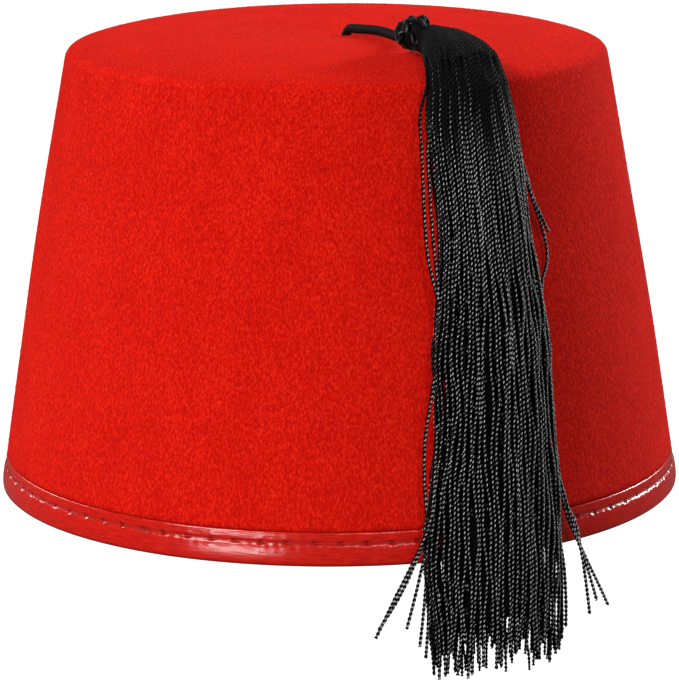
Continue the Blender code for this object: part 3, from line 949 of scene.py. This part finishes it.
def strand_lines(maker, layer):
    """Middle lines of one layer's strands, from the neck to the tips."""
    count = layer["strands"]
    across, up = oval_places(count, layer["phase"])
    ends = whole_way * (0.974 + 0.022 * maker.uniform(-1.0, 1.0, count))
    steps = round((whole_way - NECK_START) / PATH_STEP)
    share = np.linspace(0.0, 1.0, steps)
    way = NECK_START + (ends[:, None] - NECK_START) * share[None, :]
    loose = np.clip((way - 0.075) / 0.05, 0.0, 1.0)
    half_width = row_value("width", way) * TASSEL_HALF_WIDTH - layer["inset"]
    depth = row_value("depth", way) * TASSEL_THICKNESS - 2.0 * layer["inset"]
    locks = np.interp(across, np.linspace(-1.0, 1.0, 9), np.arange(9.0))
    shared = slow_noise(maker, 9, steps, 7)
    low = np.minimum(locks.astype(int), 7)
    blend = (locks - low)[:, None]
    wave = shared[low] * (1.0 - blend) + shared[low + 1] * blend
    own = slow_noise(maker, count, steps, 16)
    sideways = across[:, None] * half_width + loose * (LOCK_WAVE * wave + OWN_WAVE * own)
    drawn_in = np.exp(-(((way - 0.112) / 0.019) ** 2))
    sideways = sideways + SQUEEZE * drawn_in * np.maximum(-across[:, None], 0.0) ** 1.5
    rise = GAP + layer["inset"] + up[:, None] * depth
    rise = rise + loose * 0.00055 * slow_noise(maker, count, steps, 14)
    lines = on_tassel(way, sideways, rise)
    lean = across[:, None] / half_width
    lift = (up[:, None] - 0.5) * 4.0 / depth
    nudge = 0.0001 / np.hypot(lean, lift)
    facing = (on_tassel(way, sideways + lean * nudge, rise + lift * nudge) - lines) / 0.0001
    return list(zip(lines, way, facing))


maker = np.random.default_rng(23)
layers = [strand_lines(maker, layer) for layer in LAYERS]
print("strands:", sum(len(layer) for layer in layers))

# %% [markdown]
# Some strands have come away from the rest. They are laid one by one, each from a short row of
# places: the way out, the distance sideways and the lift, all in millimetres. Two bow out on
# the left, one loops on the right, and the others fly off at the lower corners.

# %% Loose strands
LOOSE_STRANDS = (
    ((70, -9.0, 6), (81, -13.6, 5), (91, -14.9, 6), (101, -15.2, 5), (111, -15.6, 5), (119, -15.6, 5),
     (129, -14.6, 6)),
    ((80, -10.0, 6), (90, -13.2, 6), (104, -13.6, 5), (114, -13.8, 5), (126, -14.3, 6), (140, -15.0, 5)),
    ((140, -15.0, 6), (154, -17.3, 5), (164, -18.5, 4), (175, -18.8, 4), (187, -18.4, 5)),
    ((162, -16.8, 7), (179, -17.9, 7), (186, -19.2, 7), (196, -23.3, 6), (204, -28.0, 6), (214, -32.7, 5)),
    ((160, -16.5, 6), (177, -17.6, 7), (186, -18.9, 6), (196, -22.6, 6), (204, -27.0, 6), (212, -32.0, 5)),
    ((164, -17.1, 7), (185, -18.1, 6), (195, -19.7, 5), (212, -24.7, 5)),
    ((180, -17.2, 6), (195, -18.6, 5), (217, -20.9, 4)),
    ((190, -16.9, 6), (205, -18.5, 5), (220, -19.3, 4)),
    ((158, 17.9, 5), (181, 19.9, 5), (189, 23.6, 6), (196, 25.6, 6), (215, 29.0, 5)),
    ((168, 18.4, 5), (186, 21.2, 5), (197, 25.6, 6), (212, 31.6, 5)),
    ((174, 18.6, 5), (190, 23.1, 6), (199, 26.8, 6), (214, 35.8, 5)),
    ((90, 11.0, 6), (99, 15.2, 4), (105, 16.6, 4), (110, 18.7, 4), (115, 21.7, 3)),
    ((90, 11.0, 5), (100, 14.8, 4), (108, 17.2, 4), (117, 20.4, 3), (123, 20.2, 3), (128, 17.1, 4),
     (136, 15.6, 5)),
    ((190, 18.6, 5), (200, 20.4, 5), (210, 20.8, 5), (217, 21.3, 4)),
    ((188, 17.4, 5), (199, 18.6, 5), (220, 20.0, 4)),
)

loose_lines = []
for places in LOOSE_STRANDS:
    smooth, length = smooth_points(np.array(places) / 1000.0, PATH_STEP)
    line = on_tassel(smooth[:, 0], smooth[:, 1], smooth[:, 2])
    facing = (on_tassel(smooth[:, 0], smooth[:, 1], smooth[:, 2] + 0.0001) - line) / 0.0001
    loose_lines.append((line, smooth[:, 0], facing))
print("loose strands:", len(loose_lines))

# %% [markdown]
# One tree turns lines into yarn. A two-lobed section stands for two plies laid side by side.
# It is carried along each line and turned steadily, one full turn in two and a half
# millimetres, so the plies wind round each other and each bulge catches the light once.

# %% Yarn tree
def yarn_tree():
    """Two-ply yarn along every line of the given mesh."""
    tree, given = new_tree("two_ply_yarn", {
        "Width": "value",
        "Pitch": "value",
        "Step": "value",
        "Waist": "value",
        "Sides": "whole",
        "Narrowing": "value",
        "Material": "material",
    })
    lines = add_node(tree, "GeometryNodeMeshToCurve", {"Mesh": given["Geometry"]})
    lines = add_node(tree, "GeometryNodeResampleCurve", {
        "Curve": lines.outputs[0],
        "Length": given["Step"],
    }, mode="LENGTH")
    length = add_node(tree, "GeometryNodeSplineParameter").outputs["Length"]
    start = add_node(tree, "GeometryNodeInputNamedAttribute", {"Name": "start"}, data_type="FLOAT")
    rounds = add_node(tree, "ShaderNodeMath", {0: length, 1: given["Pitch"]}, operation="DIVIDE")
    rounds = add_node(tree, "ShaderNodeMath", {0: rounds.outputs[0], 1: start.outputs[0]}, operation="ADD")
    turn = add_node(tree, "ShaderNodeMath", {0: rounds.outputs[0], 1: 2.0 * math.pi}, operation="MULTIPLY")
    turned = add_node(tree, "GeometryNodeSetCurveTilt", {
        "Curve": lines.outputs[0],
        "Tilt": turn.outputs[0],
    })
    ring = add_node(tree, "GeometryNodeCurvePrimitiveCircle", {
        "Resolution": given["Sides"],
        "Radius": 1.0,
    })
    place = add_node(tree, "GeometryNodeInputPosition")
    parts = add_node(tree, "ShaderNodeSeparateXYZ", {0: place.outputs[0]})
    lobe_share = add_node(tree, "ShaderNodeMath", {0: parts.outputs[0]}, operation="ABSOLUTE")
    lobe = add_node(tree, "ShaderNodeMapRange", {
        "Value": lobe_share.outputs[0],
        "To Min": given["Waist"],
    })
    reach = add_node(tree, "ShaderNodeMath", {0: lobe.outputs[0], 1: given["Width"]}, operation="MULTIPLY")
    reach = add_node(tree, "ShaderNodeMath", {0: reach.outputs[0], 1: 0.5}, operation="MULTIPLY")
    crest_highlight = add_node(tree, "GeometryNodeStoreNamedAttribute", {
        "Geometry": ring.outputs[0],
        "Name": "crest_highlight",
        "Value": lobe_share.outputs[0],
    }, data_type="FLOAT", domain="POINT")
    spot = add_node(tree, "ShaderNodeVectorMath", {0: place.outputs[0], "Scale": reach.outputs[0]},
                    operation="SCALE")
    section = add_node(tree, "GeometryNodeSetPosition", {
        "Geometry": crest_highlight.outputs[0],
        "Position": spot.outputs[0],
    })
    yarn = add_node(tree, "GeometryNodeCurveToMesh", {
        "Curve": turned.outputs[0],
        "Profile Curve": section.outputs[0],
        "Fill Caps": True,
    })
    # The mask of the painted highlight: the lobe share of each ply, narrowed to the faces that turn
    # outward from the tassel.
    bulge = add_node(tree, "GeometryNodeInputNamedAttribute", {"Name": "crest_highlight"}, data_type="FLOAT")
    facing = add_node(tree, "GeometryNodeInputNamedAttribute", {"Name": "facing"},
                      data_type="FLOAT_VECTOR")
    normal = add_node(tree, "GeometryNodeInputNormal")
    outer = add_node(tree, "ShaderNodeVectorMath", {0: normal.outputs[0], 1: facing.outputs[0]},
                     operation="DOT_PRODUCT")
    outer = add_node(tree, "ShaderNodeClamp", {"Value": outer.outputs["Value"]})
    outer = add_node(tree, "ShaderNodeMath", {0: outer.outputs[0], 1: given["Narrowing"]},
                     operation="POWER")
    painted_highlight = add_node(tree, "ShaderNodeMath", {0: bulge.outputs[0], 1: outer.outputs[0]},
                    operation="MULTIPLY")
    marked = add_node(tree, "GeometryNodeStoreNamedAttribute", {
        "Geometry": yarn.outputs[0],
        "Name": "crest_highlight",
        "Value": painted_highlight.outputs[0],
    }, data_type="FLOAT", domain="POINT")
    end_tree(tree, marked.outputs[0], given["Material"])
    return tree


yarn_nodes = yarn_tree()


def spin(name, lines, maker, values):
    """Yarn along lines, each with its points, shine values and outward directions."""
    points = np.concatenate([line for line, shine, facing in lines])
    shines = np.concatenate([shine for line, shine, facing in lines])
    facings = np.concatenate([facing for line, shine, facing in lines])
    starts = np.concatenate([np.full(len(line), maker.uniform()) for line, shine, facing in lines])
    counts = np.cumsum([0] + [len(line) for line, shine, facing in lines])
    edges = [(k, k + 1) for a, b in zip(counts, counts[1:]) for k in range(a, b - 1)]
    mesh = bpy.data.meshes.new(name + "_lines")
    mesh.from_pydata(points.tolist(), edges, [])
    mesh.attributes.new("shine", "FLOAT", "POINT").data.foreach_set("value", shines)
    mesh.attributes.new("start", "FLOAT", "POINT").data.foreach_set("value", starts)
    facing = mesh.attributes.new("facing", "FLOAT_VECTOR", "POINT")
    facing.data.foreach_set("vector", facings.ravel())
    source = bpy.data.objects.new(name + "_lines", mesh)
    bpy.context.collection.objects.link(source)
    made = grow(name, source, yarn_nodes, values)
    bpy.data.objects.remove(source)
    return made


def shine_of(way, late):
    """Dull in the neck, shiny where the strands hang free, a little later on some than others."""
    return np.clip((way - 0.080 - late) / 0.014, 0.0, 1.0)


# %% Tassel strands
YARN_VALUES = {
    "Width": YARN,
    "Pitch": 0.0025,
    "Step": 0.00045,
    "Waist": 0.40,
    "Sides": 8,
    "Narrowing": 2.0,
    "Material": rayon,
}
fading = np.random.default_rng(5)
outer, inner = [
    [(line, shine_of(way, fading.uniform(-0.008, 0.010)), facing) for line, way, facing in layer]
    for layer in layers
]
loose = [(line, shine_of(way, 0.0), facing) for line, way, facing in loose_lines]
third = len(outer) // 3
coarse = {**YARN_VALUES, "Step": 0.00105}
skirt_pieces = [
    spin("tassel_strands_a", outer[:third], maker, YARN_VALUES),
    spin("tassel_strands_b", outer[third:2 * third], maker, YARN_VALUES),
    spin("tassel_strands_c", outer[2 * third:], maker, YARN_VALUES),
    spin("tassel_strands_under", inner, maker, coarse),
    spin("tassel_strands_loose", loose, maker, YARN_VALUES),
]
for piece in skirt_pieces:
    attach(piece, "root")

# %% [markdown]
# Under the strands that show lie many more. One dark closed core stands for them. It fills
# the oval from the neck almost to the tips, and is seen only in the gaps.

# %% Tassel core
def core_rings(start, end, steps, columns, shrink):
    """Rings of the oval section, made smaller and closed towards both ends."""
    across, up = oval_places(columns, 0.0)
    rings = []
    for way in np.linspace(start, end, steps):
        half_width = row_value("width", way) * TASSEL_HALF_WIDTH * shrink
        depth = row_value("depth", way) * TASSEL_THICKNESS
        rise = GAP + depth * (0.5 + (up - 0.5) * shrink)
        rings.append(on_tassel(np.full(columns, way), across * half_width, rise))
    return np.array(rings)


core = skin_of_rings("tassel_core", core_rings(0.057, whole_way * 0.93, 70, 32, 0.72), False, rayon)
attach(core, "root")
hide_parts("tassel_skirt")
print("core faces:", len(core.data.polygons))

# %% [markdown]
# The knot is a cord wound over itself into a ball. A line that climbs up and down five times
# while it goes round three times makes such a ball, and lifts at every other crossing, so the
# turns pass over and under. The yarn tree gives it thickness, over a dark round core.

# %% Knots
def wound_line(place, radius, cord, rounds, climbs, points):
    """A closed line wound over a ball, as in a button knot."""
    turn = np.linspace(0.0, 2.0 * math.pi, points)
    tall = math.radians(62.0) * np.sin(climbs * turn)
    about = rounds * turn
    reach = radius - 0.5 * cord - 0.25 * cord * (1.0 + np.cos(2.0 * climbs * turn + about))
    line = np.column_stack([
        reach * np.cos(tall) * np.cos(about),
        reach * np.cos(tall) * np.sin(about),
        reach * np.sin(tall),
    ])
    return np.array(place) + line


def ball_rings(place, radius, rows, columns):
    """Rings of a round ball, with small closed ends."""
    tall = np.linspace(-0.49 * math.pi, 0.49 * math.pi, rows)
    about = np.linspace(0.0, 2.0 * math.pi, columns, endpoint=False)
    flat = np.stack([np.cos(about), np.sin(about), np.zeros(columns)], axis=1)
    rings = [flat * radius * math.cos(a) + (0.0, 0.0, radius * math.sin(a)) for a in tall]
    return np.array(rings) + np.array(place)


KNOT_CORD = 0.0021
knot_values = {**YARN_VALUES, "Width": KNOT_CORD, "Pitch": 0.0052, "Step": 0.0004, "Sides": 10}
STOPPER_PLACE = (0.00199, -0.00227, 0.11685)
STOPPER_RADIUS = 0.0045
KNOTS = (
    ("tassel_knot", KNOT_PLACE, KNOT_RADIUS),
    ("cord_stop_knot", STOPPER_PLACE, STOPPER_RADIUS),
)
knot_pieces = []
for name, place, radius in KNOTS:
    line = wound_line(place, radius, KNOT_CORD, 3, 5, 400)
    outwards = (line - np.array(place)) / np.linalg.norm(line - np.array(place), axis=1)[:, None]
    # A shine of 0.15 gives the knot's ply crests a faint painted highlight as well as their gloss.
    wound = spin(name, [(line, np.full(len(line), 0.15), outwards)], maker, knot_values)
    rings = ball_rings(place, radius - 0.7 * KNOT_CORD, 16, 24)
    middle = skin_of_rings(name + "_core", rings, False, rayon)
    knot_pieces += [wound, middle]
for piece in knot_pieces:
    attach(piece, "root")
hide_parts("tassel_head")
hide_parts("cord_stopper")

# %% [markdown]
# The hat hangs in the air as if a head wore it, so the floor lies well below. The main soft light
# stands up on the left, a low one beside the camera puts the shine on the tape, weaker ones in
# front and behind on both sides lift the rest, and a pale sky fills the shadows. The plain
# colour transform keeps the felt's red as deep as it is.

# %% Floor and lights
FLOOR_HEIGHT = -0.20

floor_material, tree, shader = new_material("pale_floor")
shader.inputs["Base Color"].default_value = linear("f6f6f6")
shader.inputs["Emission Color"].default_value = linear("ffffff")
shader.inputs["Emission Strength"].default_value = 0.20
shader.inputs["Roughness"].default_value = 0.9
floor_mesh = bpy.data.meshes.new("floor")
half = 6.0
floor_mesh.from_pydata(
    [(-half, -half, FLOOR_HEIGHT), (half, -half, FLOOR_HEIGHT),
     (half, half, FLOOR_HEIGHT), (-half, half, FLOOR_HEIGHT)],
    [], [(0, 1, 2, 3)])
floor = add_piece("floor", floor_mesh, floor_material)
floor.visible_diffuse = False
floor.visible_glossy = False


def soft_sun(name, azimuth, elevation, spread, strength):
    """A far, wide soft light that shines on the hat and the floor alike."""
    data = bpy.data.lights.new(name, "SUN")
    data.angle = math.radians(spread)
    data.energy = strength
    light = bpy.data.objects.new(name, data)
    bpy.context.collection.objects.link(light)
    side, rise = math.radians(azimuth), math.radians(elevation)
    way = Vector((math.sin(side) * math.cos(rise), -math.cos(side) * math.cos(rise), math.sin(rise)))
    light.location = way * 2.0
    light.rotation_mode = "QUATERNION"
    light.rotation_quaternion = way.to_track_quat("Z", "Y")
    return light


soft_sun("key_light", -46.0, 36.0, 12.0, 1.85)
soft_sun("low_light", -34.0, 6.0, 8.0, 0.95)
soft_sun("front_light", 18.0, 34.0, 12.0, 0.55)
soft_sun("right_light", 127.0, 20.0, 20.0, 2.8)
soft_sun("left_light", -128.0, 28.0, 20.0, 1.20)

world = bpy.data.worlds.new("pale_sky")
world.use_nodes = True
world.node_tree.nodes["Background"].inputs["Color"].default_value = linear("ffffff")
world.node_tree.nodes["Background"].inputs["Strength"].default_value = 0.12
bpy.context.scene.world = world
bpy.context.scene.view_settings.view_transform = "Standard"
print("lights set")
